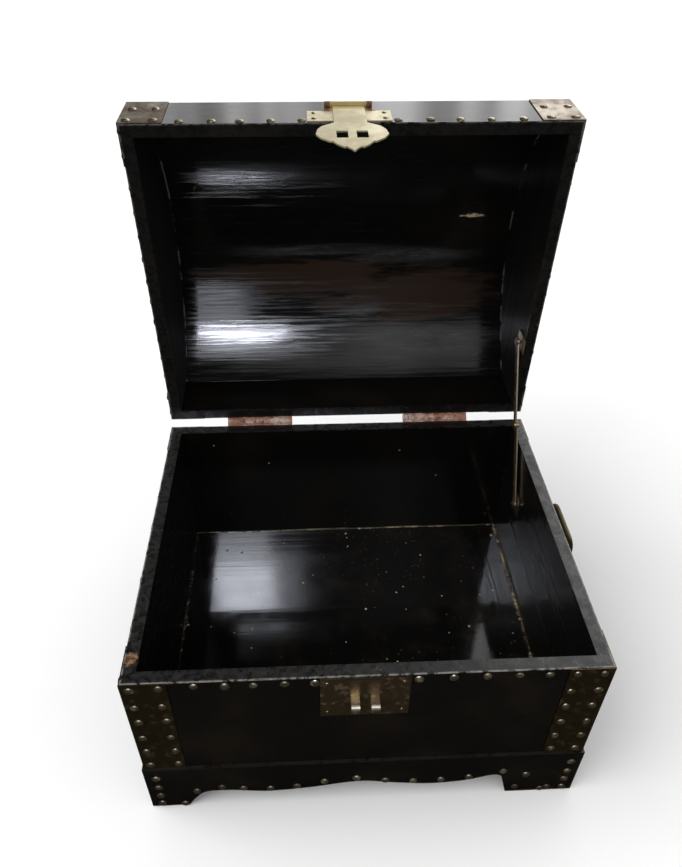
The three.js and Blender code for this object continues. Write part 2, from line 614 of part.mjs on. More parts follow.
function pinnedCylinder() {
  const { left, right, z, r, arbor } = CYLINDER;
  const y = MOVE_Y + CYLINDER.y;
  const drum = rodX(r, left, right, y, z, 32);
  const wheel = rodX(r + CYLINDER_WHEEL.rise, left, left + CYLINDER_WHEEL.width, y, z, 32);
  const axle = rodX(arbor, left - CYLINDER_AXLE_END, right + CYLINDER_AXLE_END, y, z, 16);
  return join(drum, wheel, axle);
}

function governorFan() {
  const { x, reach, low, high, halfThick } = FAN;
  const y = MOVE_Y + FAN.y;
  const spindle = rodZ(FAN_SPINDLE.r, FAN_SPINDLE.low, BED.low - FAN_SPINDLE.gap, x, y, 12);
  const wormLow = high + FAN_WORM.rise;
  const worm = rodZ(FAN_WORM.r, wormLow, wormLow + FAN_WORM.length, x, y, 16);
  return join(spindle, worm, slab(x - reach, x + reach, y - halfThick, y + halfThick, low, high));
}

function buildMovement() {
  addPiece(base, "movement_bedplate", buildBedplate(), movementBrass());
  addPiece(base, "spring_barrel", springBarrel(), movementBrass());
  const arbor = rodZ(ARBOR_R, KEY.high, BED.low - RUNNING_GAP, BARREL.x, MOVE_Y);
  addPiece(base, "winding_arbor", arbor, steel());
  addPiece(base, "winding_key", windingKey(), movementBrass());
  addPiece(base, "pinned_cylinder", pinnedCylinder(), movementBrass());
  addPiece(base, "comb", combPlate(), steel());
  addPiece(base, "governor_fan", governorFan(), steel());
}

buildCarcass();
buildPlinth();
buildCornerPlates();
buildLidWalls();
buildDome();
buildHinges();
buildStaples();
buildHasp();
buildStay();
buildHandles();
buildMovement();

// The footprint of the open chest is centred on the origin.
const footprint = new THREE.Box3().setFromObject(chest, true);
const centre = footprint.getCenter(new THREE.Vector3());
chest.position.set(-centre.x, -centre.y, 0);

export default chest;
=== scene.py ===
"""Looks of the dome-top lacquered chest: worn black lacquer, old brass, tacks, screws, light and camera.

Chest coordinates, used by the materials and the tacks: metres, origin on the ground under the middle of the
box, and with the lid shut. The row frame of the CAD model has parallel axes, another origin and the lid open.
"""

import json
import math
import random

import bmesh
import bpy
from mathutils import Matrix, Vector


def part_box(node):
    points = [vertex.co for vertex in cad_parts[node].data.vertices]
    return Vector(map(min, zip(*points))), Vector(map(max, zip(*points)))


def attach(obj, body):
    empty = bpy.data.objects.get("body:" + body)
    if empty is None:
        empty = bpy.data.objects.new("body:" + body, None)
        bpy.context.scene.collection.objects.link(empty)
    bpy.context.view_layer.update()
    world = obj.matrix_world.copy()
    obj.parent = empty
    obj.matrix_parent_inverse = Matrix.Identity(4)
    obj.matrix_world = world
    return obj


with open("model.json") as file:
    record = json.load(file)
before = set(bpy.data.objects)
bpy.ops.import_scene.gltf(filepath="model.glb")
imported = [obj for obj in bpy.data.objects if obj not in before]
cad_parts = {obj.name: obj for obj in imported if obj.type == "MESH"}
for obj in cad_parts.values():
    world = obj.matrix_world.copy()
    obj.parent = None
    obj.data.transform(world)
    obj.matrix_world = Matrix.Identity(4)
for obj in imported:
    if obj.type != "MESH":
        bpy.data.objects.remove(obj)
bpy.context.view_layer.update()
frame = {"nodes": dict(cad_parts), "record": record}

MM = 0.001


# ---------------------------------------------------------------- places read from the frame

def low(node):
    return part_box(node)[0]


def high(node):
    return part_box(node)[1]


def starting_with(start):
    return sorted(name for name in frame["nodes"] if name.startswith(start))


def joint(name):
    return next(j for j in frame["record"]["behaviour"]["joints"] if j["name"] == name)


HALF_W = high("base_right_board").x
FRONT_Y = low("base_front_board").y
REAR_Y = high("base_rear_board").y
HALF_D = (REAR_Y - FRONT_Y) / 2
ORIGIN = Vector((0, (FRONT_Y + REAR_Y) / 2, 0))
RIM_Z = high("base_front_board").z
BOARD = high("base_front_board").y - FRONT_Y
INNER_X = HALF_W - BOARD
INNER_Y = HALF_D - BOARD
FLOOR_Z = high("floor_board").z
PLINTH_Z = high("plinth_front").z
OVERHANG = FRONT_Y - low("plinth_front").y
PIN = Vector(joint("lid_hinge")["pos_m"])
OPEN_ANGLE = math.radians(joint("lid_hinge")["range_deg"][1])
RIM_GAP = 2 * (PIN.z - RIM_Z)
LID_RIM_Z = RIM_Z + RIM_GAP
LID_WALL = 47 * MM
LID_WALL_TOP = LID_RIM_Z + LID_WALL
DOME_RISE = 70 * MM
STAVE_THICKNESS = 8 * MM
DOME_R = (HALF_D ** 2 + DOME_RISE ** 2) / (2 * DOME_RISE)
DOME_CENTRE_Z = LID_WALL_TOP + DOME_RISE - DOME_R

# Row frame to chest coordinates, for the box and for the open lid.
TO_CHEST = Matrix.Translation(-ORIGIN)
CLOSE_LID = Matrix.Translation(PIN) @ Matrix.Rotation(OPEN_ANGLE, 4, "X") @ Matrix.Translation(-PIN)
LID_TO_CHEST = TO_CHEST @ CLOSE_LID
FROM_CHEST = {"base": TO_CHEST.inverted(), "lid": LID_TO_CHEST.inverted()}

PLINTHS = ["plinth_front", "plinth_rear", "plinth_left", "plinth_right"]
STAVES = starting_with("lid_stave_")


# ---------------------------------------------------------------- material building

class Tree:
    """Builds a node tree in a few calls. Sockets and plain numbers both work as inputs."""

    place = None

    def __init__(self, tree):
        self.nodes = tree.nodes
        self.links = tree.links

    def put(self, value, socket):
        if isinstance(value, bpy.types.NodeSocket):
            self.links.new(value, socket)
        elif socket.type == "RGBA" and len(value) == 3:
            socket.default_value = (*value, 1)
        else:
            socket.default_value = value

    def math(self, operation, a, b=0.0):
        node = self.nodes.new("ShaderNodeMath")
        node.operation = operation
        self.put(a, node.inputs[0])
        self.put(b, node.inputs[1])
        return node.outputs[0]

    def plus(self, a, b):
        return self.math("ADD", a, b)

    def minus(self, a, b):
        return self.math("SUBTRACT", a, b)

    def size(self, value):
        return self.math("ABSOLUTE", value)

    def chain(self, operation, values):
        result = values[0]
        for value in values[1:]:
            result = self.math(operation, result, value)
        return result

    def least(self, *values):
        return self.chain("MINIMUM", values)

    def most(self, *values):
        return self.chain("MAXIMUM", values)

    def times(self, *values):
        return self.chain("MULTIPLY", values)

    def ease(self, value, start, end, low=0.0, high=1.0):
        """low where value is at start, high where it is at end, smooth between. start may be above end."""
        node = self.nodes.new("ShaderNodeMapRange")
        node.interpolation_type = "SMOOTHSTEP"
        flip = start > end
        self.put(value, node.inputs["Value"])
        node.inputs["From Min"].default_value = min(start, end)
        node.inputs["From Max"].default_value = max(start, end)
        node.inputs["To Min"].default_value = high if flip else low
        node.inputs["To Max"].default_value = low if flip else high
        return node.outputs["Result"]

    def noise(self, scale, detail=3.0, rough=0.55, vector=None, twist=0.0):
        node = self.nodes.new("ShaderNodeTexNoise")
        self.put(self.place if vector is None else vector, node.inputs["Vector"])
        node.inputs["Scale"].default_value = scale
        node.inputs["Detail"].default_value = detail
        node.inputs["Roughness"].default_value = rough
        node.inputs["Distortion"].default_value = twist
        return node.outputs["Fac"]

    def mix(self, factor, first, second):
        node = self.nodes.new("ShaderNodeMix")
        node.data_type = "RGBA"
        self.put(factor, node.inputs["Factor"])
        self.put(first, node.inputs["A"])
        self.put(second, node.inputs["B"])
        return node.outputs["Result"]

    def blend(self, factor, first, second):
        node = self.nodes.new("ShaderNodeMix")
        self.put(factor, node.inputs[0])
        self.put(first, node.inputs[2])
        self.put(second, node.inputs[3])
        return node.outputs[0]


class Graph(Tree):
    """The node tree of one material, in chest coordinates. turned is for pieces that ride on the lid."""

    def __init__(self, name, turned=False):
        self.material = bpy.data.materials.new(name)
        self.material.use_nodes = True
        super().__init__(self.material.node_tree)
        self.shader = self.nodes["Principled BSDF"]
        coordinates = self.nodes.new("ShaderNodeTexCoord")
        matrix = LID_TO_CHEST if turned else TO_CHEST
        mapping = self.nodes.new("ShaderNodeMapping")
        mapping.inputs["Location"].default_value = matrix.to_translation()
        mapping.inputs["Rotation"].default_value = matrix.to_euler()
        self.put(coordinates.outputs["Object"], mapping.inputs["Vector"])
        self.place = mapping.outputs["Vector"]
        split = self.nodes.new("ShaderNodeSeparateXYZ")
        self.put(self.place, split.inputs[0])
        self.x, self.y, self.z = split.outputs

    def stretched(self, scale, shift=0.0):
        """The place, scaled along each axis, for streaks."""
        node = self.nodes.new("ShaderNodeMapping")
        self.put(self.place, node.inputs["Vector"])
        node.inputs["Scale"].default_value = scale
        node.inputs["Location"].default_value = (shift, shift, shift)
        return node.outputs["Vector"]

    def streaks(self, scale, shift=0.0, detail=3.0, rough=0.55):
        """Noise of a different fineness along each axis."""
        return self.noise(1.0, detail, rough, self.stretched(scale, shift))

    def distance_to(self, point):
        """Distance from a fixed point."""
        node = self.nodes.new("ShaderNodeVectorMath")
        node.operation = "DISTANCE"
        self.put(self.place, node.inputs[0])
        node.inputs[1].default_value = point
        return node.outputs["Value"]

    def distance_to_axis(self, axis_z):
        """Distance from the dome's long axis."""
        rise = self.minus(self.z, axis_z)
        return self.math("SQRT", self.plus(self.times(self.y, self.y), self.times(rise, rise)))

    def patch(self, centre, reach, ragged, soft=0.25):
        """1 inside an ellipsoid round centre that reaches reach along each axis, with a ragged edge."""
        node = self.nodes.new("ShaderNodeMapping")
        self.put(self.place, node.inputs["Vector"])
        scale = [1 / r for r in reach]
        node.inputs["Scale"].default_value = scale
        node.inputs["Location"].default_value = [-c * k for c, k in zip(centre, scale)]
        length = self.nodes.new("ShaderNodeVectorMath")
        length.operation = "LENGTH"
        self.links.new(node.outputs["Vector"], length.inputs[0])
        return self.ease(self.plus(length.outputs["Value"], ragged), 1.0 + soft, 1.0 - soft)

    def specks(self, scale, size, share):
        """1 inside small uneven dots, 0 elsewhere. share is how many of the cells hold one."""
        node = self.nodes.new("ShaderNodeTexVoronoi")
        self.put(self.place, node.inputs["Vector"])
        node.inputs["Scale"].default_value = scale
        lot = self.nodes.new("ShaderNodeSeparateColor")
        self.links.new(node.outputs["Color"], lot.inputs["Color"])
        chosen = self.ease(lot.outputs["Red"], 1 - share, 1 - share * 0.9)
        uneven = self.times(self.noise(700, detail=3), size * 0.8)
        dot = self.ease(self.plus(node.outputs["Distance"], uneven), size * 1.3, size * 0.9)
        return self.times(dot, chosen)

    def bump(self, height, distance, strength=1.0, under=None):
        node = self.nodes.new("ShaderNodeBump")
        node.inputs["Distance"].default_value = distance
        node.inputs["Strength"].default_value = strength
        self.put(height, node.inputs["Height"])
        if under is not None:
            self.put(under, node.inputs["Normal"])
        return node.outputs["Normal"]

    def finish(self, colour, roughness, normal, metallic=0.0):
        self.shader.inputs["IOR"].default_value = 1.6
        self.put(colour, self.shader.inputs["Base Color"])
        self.put(roughness, self.shader.inputs["Roughness"])
        self.put(metallic, self.shader.inputs["Metallic"])
        self.put(normal, self.shader.inputs["Normal"])
        return self.material


# ---------------------------------------------------------------- lacquer

def under_dome(x, angle):
    """A point on the inside of the dome: how far along it, and degrees back from its crown."""
    turn = math.radians(angle)
    inner = DOME_R - STAVE_THICKNESS
    return (x, inner * math.sin(turn), DOME_CENTRE_Z + inner * math.cos(turn))


# Two broad patches inside the dome that carry a painted brown reflection of the room.
BROWN_REFLECTION_PATCHES = [(under_dome(-45 * MM, 15), (90 * MM, 20 * MM, 30 * MM)),
                 (under_dome(75 * MM, 22), (75 * MM, 26 * MM, 30 * MM))]
BLOOM_PATCHES = [(under_dome(-25 * MM, 6), (70 * MM, 6 * MM, 20 * MM)),
                 (under_dome(70 * MM, 8), (60 * MM, 7 * MM, 20 * MM)),
                 (under_dome(8 * MM, 26), (32 * MM, 10 * MM, 20 * MM)),
                 (under_dome(90 * MM, 37), (65 * MM, 12 * MM, 30 * MM))]
CHIP = under_dome(125 * MM, -5.5)

BLACK = (0.0032, 0.003, 0.0028)
BROWN_BLACK = (0.008, 0.006, 0.0042)
WORN_GREY = (0.017, 0.016, 0.0155)
# Pale colour for scuffs on the rim, and for the painted highlight along the rim's outer edge.
SCUFF_AND_EDGE_HIGHLIGHT = (0.2, 0.19, 0.17)
BARE_WOOD = (0.34, 0.24, 0.13)
TAN = (0.46, 0.37, 0.23)
COPPER_WOOD = (0.3, 0.15, 0.075)
GREY_BLOOM = (0.045, 0.044, 0.05)
# Painted reflection: the brown of the room, seen in the dome's inside.
PAINTED_BROWN_REFLECTION = (0.026, 0.0145, 0.009)
# Painted highlight colour, bluish, for the seams between the dome's staves and its end boards.
PAINTED_SEAM_HIGHLIGHT = (0.16, 0.17, 0.22)
# Painted highlight colour for the plinth's top ledge.
LEDGE_HIGHLIGHT_GREY = (0.04, 0.037, 0.033)


def brush_marks(graph, along):
    """Fine brush marks that run along one axis: 0 to 1."""
    return graph.streaks({"x": (18, 900, 900), "y": (900, 18, 900)}[along], detail=2)


def brush_bands(graph, along):
    """Broad brush bands that run along one axis: 0 to 1."""
    return graph.streaks({"x": (3, 110, 110), "y": (110, 3, 110)}[along], 3.7)


def rim_and_edge_masks(graph, rim_z, inward):
    """How much a point is on a wall's worn top and near its outer edge, where a painted highlight goes, and
    its depth from outside.
    """
    on_rim = graph.ease(graph.times(graph.minus(graph.z, rim_z), inward), 1.3 * MM, 0.4 * MM)
    from_side = graph.minus(HALF_W, graph.size(graph.x))
    from_face = graph.minus(HALF_D, graph.size(graph.y))
    outer = graph.least(from_side, from_face)
    return on_rim, graph.ease(outer, 1.5 * MM, 0.3 * MM), outer


def board_lacquer(name, turned, along):
    """Lacquer for walls: glossy, brushed, duller on the ends inside, grey and worn through on the rim, with a
    painted highlight along the rim's outer edge.
    """
    graph = Graph(name, turned)
    marks = brush_marks(graph, along)
    bands = brush_bands(graph, along)
    patches = graph.noise(14, detail=4)
    grain = graph.noise(170, detail=6, rough=0.7)
    rim_z, inward = (LID_RIM_Z, 1) if turned else (RIM_Z, -1)
    on_rim, edge, outer = rim_and_edge_masks(graph, rim_z, inward)
    inside = graph.ease(outer, BOARD * 0.8, BOARD * 0.95)
    grey = 0.2 if turned else 1.0
    worn = graph.times(on_rim, graph.ease(grain, 0.38, 0.6, 0.05 * grey, grey))
    # A pale line along the rim's outer edge: a painted highlight for the light that its rounded edge catches,
    # fainter on the lid.
    edge_highlight = graph.times(on_rim, edge, graph.ease(grain, 0.4, 0.56), 0.45 if turned else 1.0)
    nicks = graph.times(on_rim, graph.ease(graph.noise(60, detail=6, rough=0.8), 0.66, 0.72))
    specks = graph.times(inside, graph.specks(75, 0.09, 0.12))
    colour = graph.mix(graph.ease(patches, 0.45, 0.75), BLACK, BROWN_BLACK)
    colour = graph.mix(worn, colour, WORN_GREY)
    # Painted highlight along the rim's outer edge.
    colour = graph.mix(edge_highlight, colour, SCUFF_AND_EDGE_HIGHLIGHT)
    colour = graph.mix(graph.times(nicks, 0.7), colour, SCUFF_AND_EDGE_HIGHLIGHT)
    colour = graph.mix(graph.times(specks, 0.6), colour, TAN)
    if not turned:
        colour = wall_foot(graph, colour, inside, patches)
    gloss = graph.ease(bands, 0.3, 0.75, 0.08, 0.15)
    if along == "y":
        smooth, dull = (0.48, 0.62) if turned else (0.2, 0.3)
        gloss = graph.blend(inside, gloss, graph.ease(bands, 0.3, 0.75, smooth, dull))
    flecks = graph.ease(graph.noise(85, detail=6, rough=0.8), 0.38, 0.62, 0.22, 0.36 if turned else 0.5)
    roughness = graph.blend(on_rim, gloss, flecks)
    normal = graph.bump(bands, (0.04 if along == "y" else 0.1) * MM, 0.3)
    normal = graph.bump(marks, 0.02 * MM, 0.3, normal)
    normal = graph.bump(graph.times(grain, on_rim), 0.35 * MM, 0.7, normal)
    return graph.finish(colour, roughness, normal)


def wall_foot(graph, colour, inside, patches):
    """Tan wood in the crack between wall and floor, and one bare spot near the rim's front left corner."""
    above_floor = graph.minus(graph.z, FLOOR_Z)
    broken = graph.ease(patches, 0.5, 0.6, 0.1, 0.8)
    seam = graph.times(graph.ease(above_floor, 1.4 * MM, 0.4 * MM), inside, broken)
    colour = graph.mix(seam, colour, TAN)
    to_spot = graph.distance_to((-HALF_W + 3.5 * MM, -HALF_D + 21 * MM, RIM_Z))
    ragged = graph.plus(to_spot, graph.times(graph.noise(130, detail=5, rough=0.7), 18 * MM))
    mottled = graph.ease(graph.noise(330, detail=4), 0.4, 0.58, 0.2, 1.0)
    spot = graph.times(graph.ease(ragged, 15 * MM, 12.5 * MM), mottled)
    return graph.mix(spot, colour, COPPER_WOOD)


def floor_lacquer():
    """The box's floor: glossy lacquer, with tan wear where it meets the walls and scattered tan crumbs."""
    graph = Graph("floor_lacquer")
    marks = brush_marks(graph, "x")
    bands = brush_bands(graph, "x")
    patches = graph.noise(30, detail=5, rough=0.65)
    ragged = graph.noise(260, detail=6, rough=0.8)
    breaks = graph.noise(45, detail=4, rough=0.7)
    to_right = graph.minus(INNER_X, graph.x)
    to_left = graph.plus(graph.x, INNER_X)
    to_rear = graph.minus(INNER_Y, graph.y)
    wander = graph.plus(graph.times(breaks, 3 * MM), -1.5 * MM)
    right = graph.ease(graph.plus(to_right, wander), 3.0 * MM, 1.3 * MM)
    right = graph.times(right, graph.ease(ragged, 0.46, 0.56), graph.ease(breaks, 0.42, 0.54, 0.1, 1.0))
    left = graph.times(graph.ease(to_left, 2.6 * MM, 1.2 * MM), graph.ease(ragged, 0.52, 0.62), 0.5)
    rear = graph.ease(to_rear, 1.6 * MM, 0.8 * MM)
    rear = graph.times(rear, graph.ease(ragged, 0.36, 0.56), graph.ease(breaks, 0.46, 0.6, 0.15, 0.9))
    seam = graph.most(left, right, rear)
    crumbs = graph.most(graph.specks(62, 0.1, 0.28), graph.specks(130, 0.14, 0.12))
    dust = graph.times(graph.specks(300, 0.2, 0.25), graph.ease(graph.noise(8, detail=2), 0.45, 0.62), 0.3)
    colour = graph.mix(graph.ease(patches, 0.45, 0.7), BLACK, BROWN_BLACK)
    upper = graph.ease(graph.z, FLOOR_Z - 2 * MM, FLOOR_Z - 1 * MM)
    colour = graph.mix(graph.times(graph.most(seam, crumbs, dust), upper), colour, TAN)
    gloss = graph.ease(patches, 0.35, 0.7, 0.06, 0.12)
    roughness = graph.blend(graph.most(seam, crumbs), gloss, 0.7)
    normal = graph.bump(graph.noise(9, detail=2), 1.0 * MM, 0.12)
    normal = graph.bump(bands, 0.25 * MM, 0.35, normal)
    normal = graph.bump(marks, 0.03 * MM, 0.4, normal)
    normal = graph.bump(graph.most(seam, crumbs), 0.3 * MM, 0.8, normal)
    return graph.finish(colour, roughness, normal)


def stave_lacquer():
    """The dome: thick lacquer brushed along the staves, dull and grey in a few long smears inside, with a
    painted brown reflection in two broad patches and a painted bluish highlight along the seams with the end
    boards.
    """
    graph = Graph("stave_lacquer", turned=True)
    marks = brush_marks(graph, "x")
    patches = graph.noise(9, detail=5, rough=0.6, twist=0.6)
    ragged = graph.plus(graph.streaks((16, 90, 90), 5.1, detail=6, rough=0.7), -0.5)
    torn = graph.times(ragged, 3.2)
    dry = graph.ease(graph.streaks((9, 190, 190), 5.1, detail=6, rough=0.75), 0.5, 0.64)
    inside = graph.ease(graph.distance_to_axis(DOME_CENTRE_Z), DOME_R - 3 * MM, DOME_R - 5 * MM)
    brown = graph.most(*[graph.patch(centre, reach, torn) for centre, reach in BROWN_REFLECTION_PATCHES])
    bloom = graph.most(*[graph.patch(centre, reach, torn, 0.4) for centre, reach in BLOOM_PATCHES])
    bloom = graph.times(bloom, inside, graph.ease(ragged, -0.15, 0.15, 0.15, 0.75))
    splinters = graph.times(graph.plus(graph.streaks((160, 600, 600), detail=4), -0.5), 4)
    edge = graph.size(graph.minus(graph.size(graph.x), INNER_X))
    broken = graph.ease(graph.noise(70, detail=5), 0.5, 0.6)
    # A painted bluish highlight in broken bits along the seams between the staves and the end boards.
    seam_highlight = graph.times(graph.ease(edge, 1.6 * MM, 0.5 * MM), broken, inside)
    chip = graph.times(graph.patch(CHIP, (9 * MM, 1.6 * MM, 5 * MM), splinters, 0.15), inside)
    colour = graph.mix(graph.ease(patches, 0.5, 0.75), BLACK, BROWN_BLACK)
    # Painted brown reflection in two broad patches inside the dome.
    colour = graph.mix(graph.times(brown, inside), colour, PAINTED_BROWN_REFLECTION)
    colour = graph.mix(bloom, colour, GREY_BLOOM)
    colour = graph.mix(graph.times(seam_highlight, 0.6), colour, PAINTED_SEAM_HIGHLIGHT)
    colour = graph.mix(chip, colour, TAN)
    streaks = graph.streaks((10, 330, 330), 8.3, detail=4, rough=0.7)
    gloss = graph.ease(streaks, 0.46, 0.58, 0.07, 0.19)
    roughness = graph.blend(graph.times(dry, 0.45), gloss, 0.4)
    roughness = graph.blend(graph.most(graph.times(bloom, 0.7), chip), roughness, 0.42)
    normal = graph.bump(graph.noise(11, detail=2), 1.4 * MM, 0.3)
    normal = graph.bump(graph.streaks((5, 60, 60), 2.2), 0.6 * MM, 0.4, normal)
    normal = graph.bump(streaks, 0.14 * MM, 0.5, normal)
    normal = graph.bump(marks, 0.05 * MM, 0.4, normal)
    return graph.finish(colour, roughness, normal)


def plinth_lacquer():
    """Base moulding: lacquer with a painted highlight as a faint grey line along the top ledge, and worn
    lower edges.
    """
    graph = Graph("plinth_lacquer")
    marks = brush_marks(graph, "x")
    bands = brush_bands(graph, "x")
    patches = graph.noise(22, detail=4)
    grain = graph.noise(150, detail=5, rough=0.7)
    ledge = graph.ease(graph.minus(PLINTH_Z, graph.z), 1.2 * MM, 0.1 * MM)
    ledge = graph.times(ledge, graph.ease(grain, 0.3, 0.6))
    foot = graph.times(graph.ease(graph.z, 2.5 * MM, 0.3 * MM), graph.ease(grain, 0.3, 0.7))
    colour = graph.mix(graph.ease(patches, 0.45, 0.7), BLACK, BROWN_BLACK)
    # Painted highlight: a faint grey line along the top ledge.
    colour = graph.mix(graph.times(ledge, 0.35), colour, LEDGE_HIGHLIGHT_GREY)
    colour = graph.mix(graph.times(foot, 0.35), colour, BARE_WOOD)
    roughness = graph.blend(graph.most(ledge, foot), graph.ease(bands, 0.3, 0.75, 0.14, 0.26), 0.55)
    normal = graph.bump(bands, 0.4 * MM, 0.4)
    normal = graph.bump(marks, 0.05 * MM, 0.3, normal)
    return graph.finish(colour, roughness, normal)


# ---------------------------------------------------------------- metals

# Old brass: bright, dark and patina colours, roughness, and how strong the patina's spots are.
ANTIQUE = ((0.21, 0.155, 0.082), (0.13, 0.096, 0.052), (0.05, 0.045, 0.022), 0.46, 0.3)
STAPLE_PLATE = ((0.42, 0.31, 0.18), (0.24, 0.165, 0.095), (0.08, 0.06, 0.035), 0.44, 0.4)
LID_PLATE = ((0.56, 0.49, 0.4), (0.3, 0.24, 0.18), (0.12, 0.085, 0.055), 0.4, 0.45)
STAPLE = ((0.52, 0.47, 0.36), (0.34, 0.29, 0.2), (0.14, 0.1, 0.06), 0.42, 0.3)
STAY = ((0.85, 0.7, 0.52), (0.5, 0.36, 0.22), (0.16, 0.1, 0.05), 0.34, 0.4)
TACK = ((0.66, 0.58, 0.43), (0.4, 0.33, 0.21), (0.16, 0.12, 0.07), 0.38, 0.4)
PLATE_PIN = ((0.66, 0.6, 0.46), (0.44, 0.36, 0.22), (0.16, 0.1, 0.05), 0.3, 0.3)

# Movement metals: bright and dark colours, and roughness.
MOVEMENT_BRASS = ((0.72, 0.55, 0.26), (0.5, 0.36, 0.16), 0.26)
MOVEMENT_STEEL = ((0.55, 0.56, 0.58), (0.34, 0.34, 0.36), 0.28)

HASP_PALE = (0.62, 0.56, 0.37)
HASP_DULL = (0.48, 0.42, 0.26)
HASP_SPOT = (0.2, 0.14, 0.08)
HASP_YELLOW = (0.72, 0.56, 0.2)
HASP_RUST = (0.14, 0.06, 0.025)

COPPER_PALE = (0.72, 0.56, 0.48)
COPPER_RED = (0.47, 0.24, 0.17)
COPPER_DARK = (0.27, 0.12, 0.08)
COPPER_OXIDE = (0.08, 0.045, 0.035)


def old_metal(name, turned, bright, dark, patina, roughness, spots=0.5):
    """Sheet metal with a worn bright skin, dark oxide patches and a little green-brown patina."""
    graph = Graph(name, turned)
    cloud = graph.noise(38, detail=5, rough=0.65)
    fine = graph.noise(420, detail=4, rough=0.7)
    spotting = graph.ease(graph.noise(130, detail=5, rough=0.7), 0.5, 0.66)
    colour = graph.mix(graph.ease(cloud, 0.36, 0.64), bright, dark)
    colour = graph.mix(graph.times(spotting, spots), colour, patina)
    rough = graph.ease(cloud, 0.3, 0.7, roughness - 0.08, roughness + 0.14)
    rough = graph.plus(rough, graph.times(spotting, 0.14))
    metal = graph.ease(graph.times(spotting, spots), 0.0, 1.0, 1.0, 0.45)
    normal = graph.bump(cloud, 0.5 * MM, 0.35)
    normal = graph.bump(fine, 0.06 * MM, 0.4, normal)
    return graph.finish(colour, rough, normal, metal)


def hasp_brass():
    """The hasp's pale brass, rusted dark beside the knuckle and yellower on it."""
    graph = Graph("pale_brass", turned=True)
    cloud = graph.noise(45, detail=4, rough=0.6)
    fine = graph.noise(300, detail=4, rough=0.7)
    colour = graph.mix(graph.ease(cloud, 0.36, 0.64), HASP_PALE, HASP_DULL)
    colour = graph.mix(graph.times(graph.ease(fine, 0.6, 0.7), 0.4), colour, HASP_SPOT)
    knuckle_low, knuckle_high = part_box("hasp_pin")
    middle = LID_TO_CHEST @ ((knuckle_low + knuckle_high) / 2)
    across = graph.size(graph.minus(graph.x, middle.x))
    rise = graph.size(graph.minus(graph.z, middle.z - 3 * MM))
    ragged = graph.plus(graph.size(graph.minus(across, 17 * MM)), graph.times(fine, 4 * MM))
    rust = graph.times(graph.ease(ragged, 6.5 * MM, 4.0 * MM), graph.ease(rise, 8 * MM, 5 * MM))
    near_knuckle = graph.ease(rise, 9 * MM, 2 * MM)
    colour = graph.mix(graph.times(near_knuckle, 0.6), colour, HASP_YELLOW)
    colour = graph.mix(rust, colour, HASP_RUST)
    roughness = graph.blend(rust, graph.ease(cloud, 0.3, 0.7, 0.3, 0.44), 0.75)
    metal = graph.ease(rust, 0.0, 1.0, 0.65, 0.2)
    normal = graph.bump(cloud, 0.3 * MM, 0.3)
    normal = graph.bump(fine, 0.05 * MM, 0.4, normal)
    return graph.finish(colour, roughness, normal, metal)


def hinge_copper(name, turned):
    """Coppery hinge metal, lacquered over black where a leaf lies on the rim."""
    graph = Graph(name, turned)
    cloud = graph.noise(60, detail=5, rough=0.7)
    fine = graph.noise(330, detail=4, rough=0.75)
    colour = graph.mix(graph.ease(cloud, 0.43, 0.57), COPPER_PALE, COPPER_RED)
    colour = graph.mix(graph.ease(fine, 0.5, 0.58, 0.0, 0.45), colour, COPPER_DARK)
    oxide = graph.ease(graph.noise(170, detail=5, rough=0.8), 0.52, 0.58)
    colour = graph.mix(graph.times(oxide, 0.75), colour, COPPER_OXIDE)
    ahead = graph.minus(PIN.y - ORIGIN.y, graph.y)
    wander = graph.plus(ahead, graph.times(cloud, 2.5 * MM))
    painted = graph.times(graph.ease(wander, 6.6 * MM, 7.8 * MM), graph.ease(fine, 0.72, 0.62, 0.4, 1.0))
    colour = graph.mix(painted, colour, BLACK)
    rough = graph.blend(painted, graph.ease(cloud, 0.3, 0.7, 0.34, 0.52), 0.3)
    metal = graph.ease(painted, 0.0, 1.0, 0.35, 0.0)
    normal = graph.bump(cloud, 0.4 * MM, 0.4)
    normal = graph.bump(fine, 0.08 * MM, 0.5, normal)
    return graph.finish(colour, rough, normal, metal)


def turned_metal(name, bright, dark, roughness):
    """Machined metal for the movement, with fine lathe marks."""
    graph = Graph(name)
    cloud = graph.noise(60, detail=3)
    marks = graph.streaks((160, 160, 2400), detail=2)
    colour = graph.mix(graph.ease(cloud, 0.3, 0.75), bright, dark)
    rough = graph.ease(marks, 0.3, 0.7, roughness - 0.05, roughness + 0.1)
    return graph.finish(colour, rough, graph.bump(marks, 0.01 * MM, 0.3), 1.0)


# ---------------------------------------------------------------- carried-over CAD nodes

BOARD_EDGE = 0.6 * MM
PLATE_EDGE = 0.25 * MM
SHARP_ANGLE = math.radians(35)


def dress(nodes, material, bevel=0.0, smooth=False):
    """Gives CAD nodes a material, a fine rounded edge and, where they curve, smooth shading."""
    for name in nodes:
        piece = frame["nodes"][name]
        piece.data.materials.clear()
        piece.data.materials.append(material)
        if smooth:
            piece.data.shade_smooth()
            piece.data.set_sharp_from_angle(angle=SHARP_ANGLE)
        if bevel:
            edge = piece.modifiers.new("soft_edge", "BEVEL")
            edge.width = bevel
            edge.segments = 2
            edge.limit_method = "ANGLE"
            edge.angle_limit = SHARP_ANGLE
            edge.harden_normals = True


def dress_wood():
    dress(["base_front_board", "base_rear_board"], board_lacquer("wall_lacquer_x", False, "x"), BOARD_EDGE)
    dress(["base_left_board", "base_right_board"], board_lacquer("wall_lacquer_y", False, "y"), BOARD_EDGE)
    dress(["lid_front_board", "lid_rear_board"], board_lacquer("lid_lacquer_x", True, "x"), BOARD_EDGE)
    dress(["lid_left_end", "lid_right_end"], board_lacquer("lid_lacquer_y", True, "y"), 0.5 * MM, True)
    dress(["floor_board"], floor_lacquer())
    dress(PLINTHS, plinth_lacquer(), 1.0 * MM, True)
    dress(STAVES, stave_lacquer(), 0.15 * MM, True)


